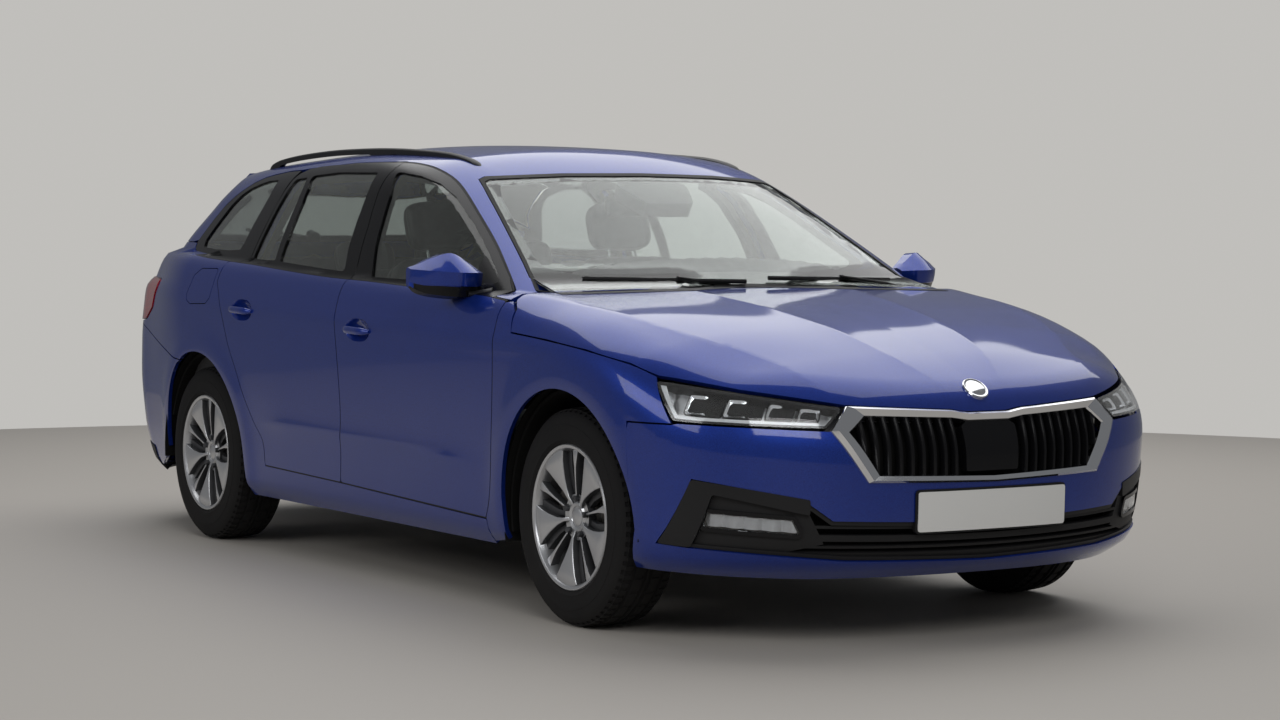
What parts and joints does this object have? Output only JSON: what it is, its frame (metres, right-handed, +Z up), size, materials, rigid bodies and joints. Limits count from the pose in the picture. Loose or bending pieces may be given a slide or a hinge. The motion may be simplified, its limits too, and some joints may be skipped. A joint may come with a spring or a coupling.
{
  "type": "station wagon",
  "caption": "Five-door estate car: hollow blue body with hinged doors, bonnet and tailgate, glazed cabin with seats, steered front wheels and rolling alloy wheels",
  "frame": {"origin": "on the ground, under the middle of the car's box", "axes": "+X to the nose, +Y to the left side, +Z up"},
  "size_m": [4.6879, 2.01, 1.449],
  "materials": {
    "black_gloss": "black gloss moulding",
    "black_plastic": "black moulded plastic",
    "black_satin": "satin black",
    "blue_paint": "metallic clear-coated paint",
    "cabin_leather": "grained leather",
    "cabin_plastic": "grained soft plastic",
    "cast_iron": "rough cast iron",
    "chassis_steel": "black painted pressings",
    "engine_metal": "cast aluminium",
    "exhaust_steel": "heat-stained steel",
    "lamp_glass": "clear moulded lens",
    "painted_dark": "satin body primer",
    "red_lamp": "red moulded lens",
    "seat_fabric": "woven seat cloth",
    "tyre_rubber": "black tyre rubber",
    "wheel_alloy": "silver painted alloy",
    "window_glass": "green-tinted safety glass"
  },
  "bodies": {
    "root": {"floor_pan": "painted_dark", "roof": "blue_paint", "wings": "blue_paint", "front_bumper": "blue_paint", "headlamps": "lamp_glass", "grille": "black_gloss", "rear_bumper": "blue_paint", "tail_lamps": "red_lamp", "fixed_glass": "window_glass", "roof_rails": "black_satin", "dashboard": "cabin_plastic", "steering_wheel": "cabin_leather", "front_seats": "seat_fabric", "rear_seat": "seat_fabric", "engine_block": "engine_metal", "front_subframe": "chassis_steel", "rear_axle": "chassis_steel", "wheel_liners": "black_plastic", "exhaust": "exhaust_steel", "body_side_right": "blue_paint", "body_side_left": "blue_paint"},
    "bonnet": {"bonnet": "blue_paint"},
    "tailgate": {"tailgate": "blue_paint", "tailgate_glass": "window_glass", "tailgate_lamps": "red_lamp"},
    "fuel_flap": {"fuel_flap": "blue_paint"},
    "front_door_right": {"front_door_right": "blue_paint", "front_door_glass_right": "window_glass", "door_mirror_right": "blue_paint"},
    "rear_door_right": {"rear_door_right": "blue_paint", "rear_door_glass_right": "window_glass"},
    "knuckle_right": {"knuckle_right": "cast_iron"},
    "wheel_front_right": {"tyre_front_right": "tyre_rubber", "rim_front_right": "wheel_alloy"},
    "wheel_rear_right": {"tyre_rear_right": "tyre_rubber", "rim_rear_right": "wheel_alloy"},
    "front_door_left": {"front_door_left": "blue_paint", "front_door_glass_left": "window_glass", "door_mirror_left": "blue_paint"},
    "rear_door_left": {"rear_door_left": "blue_paint", "rear_door_glass_left": "window_glass"},
    "knuckle_left": {"knuckle_left": "cast_iron"},
    "wheel_front_left": {"tyre_front_left": "tyre_rubber", "rim_front_left": "wheel_alloy"},
    "wheel_rear_left": {"tyre_rear_left": "tyre_rubber", "rim_rear_left": "wheel_alloy"}
  },
  "joints": [
    {"name": "front_door_right_hinge", "type": "hinge", "parent": "root", "child": "front_door_right", "pos_m": [1.086, -0.9145, 0.6], "axis": [0, 0, 1], "range_deg": [0, 68]},
    {"name": "rear_door_right_hinge", "type": "hinge", "parent": "root", "child": "rear_door_right", "pos_m": [-0.006, -0.9145, 0.6], "axis": [0, 0, 1], "range_deg": [0, 70]},
    {"name": "steer_right", "type": "hinge", "parent": "root", "child": "knuckle_right", "pos_m": [1.4545, -0.755, 0.322], "axis": [0, 0, 1], "range_deg": [-35, 35]},
    {"name": "front_wheel_right_spin", "type": "hinge", "parent": "knuckle_right", "child": "wheel_front_right", "pos_m": [1.4545, -0.7705, 0.322], "axis": [0, 1, 0], "continuous": true},
    {"name": "rear_wheel_right_spin", "type": "hinge", "parent": "root", "child": "wheel_rear_right", "pos_m": [-1.2315, -0.7705, 0.322], "axis": [0, 1, 0], "continuous": true},
    {"name": "front_door_left_hinge", "type": "hinge", "parent": "root", "child": "front_door_left", "pos_m": [1.086, 0.9145, 0.6], "axis": [0, 0, -1], "range_deg": [0, 68]},
    {"name": "rear_door_left_hinge", "type": "hinge", "parent": "root", "child": "rear_door_left", "pos_m": [-0.006, 0.9145, 0.6], "axis": [0, 0, -1], "range_deg": [0, 70]},
    {"name": "steer_left", "type": "hinge", "parent": "root", "child": "knuckle_left", "pos_m": [1.4545, 0.755, 0.322], "axis": [0, 0, 1], "range_deg": [-35, 35]},
    {"name": "front_wheel_left_spin", "type": "hinge", "parent": "knuckle_left", "child": "wheel_front_left", "pos_m": [1.4545, 0.7705, 0.322], "axis": [0, 1, 0], "continuous": true},
    {"name": "rear_wheel_left_spin", "type": "hinge", "parent": "root", "child": "wheel_rear_left", "pos_m": [-1.2315, 0.7705, 0.322], "axis": [0, 1, 0], "continuous": true},
    {"name": "bonnet_hinge", "type": "hinge", "parent": "root", "child": "bonnet", "pos_m": [1.16, 0, 0.985], "axis": [0, -1, 0], "range_deg": [0, 55]},
    {"name": "tailgate_hinge", "type": "hinge", "parent": "root", "child": "tailgate", "pos_m": [-1.868, 0, 1.386], "axis": [0, 1, 0], "range_deg": [0, 80]},
    {"name": "fuel_flap_hinge", "type": "hinge", "parent": "root", "child": "fuel_flap", "pos_m": [-1.119, -0.9145, 0.95], "axis": [0, 0, 1], "range_deg": [0, 100]}
  ],
  "couplings": [
    {"joint": "steer_left", "follows": "steer_right", "ratio": 1}
  ]
}
